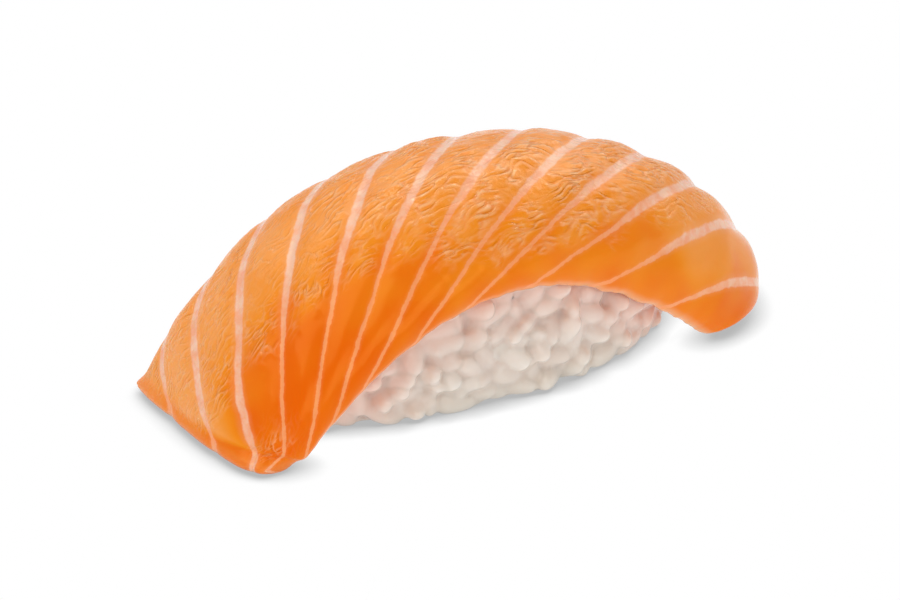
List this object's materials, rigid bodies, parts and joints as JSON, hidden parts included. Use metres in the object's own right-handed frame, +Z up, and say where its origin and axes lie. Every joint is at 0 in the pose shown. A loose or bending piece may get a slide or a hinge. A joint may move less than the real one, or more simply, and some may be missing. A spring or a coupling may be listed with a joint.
{
  "type": "salmon nigiri sushi",
  "caption": "Slice of raw salmon draped over a hand-pressed block of rice, its ends reaching down to the ground past the rice.",
  "frame": {"origin": "on the ground, under the middle of the whole piece's box", "axes": "+X along the length of the slice, towards its steeper end; -Y is the side where the slice's lower edge shows; +Z up"},
  "size_m": [0.0898, 0.0354, 0.031],
  "materials": {
    "salmon": "moist raw flesh, deep orange between pale pink fat lines, soft gloss",
    "rice": "moist cooked grains, translucent warm white"
  },
  "bodies": {
    "root": {"salmon_slice": "salmon", "rice_block": "rice"}
  },
  "joints": []
}
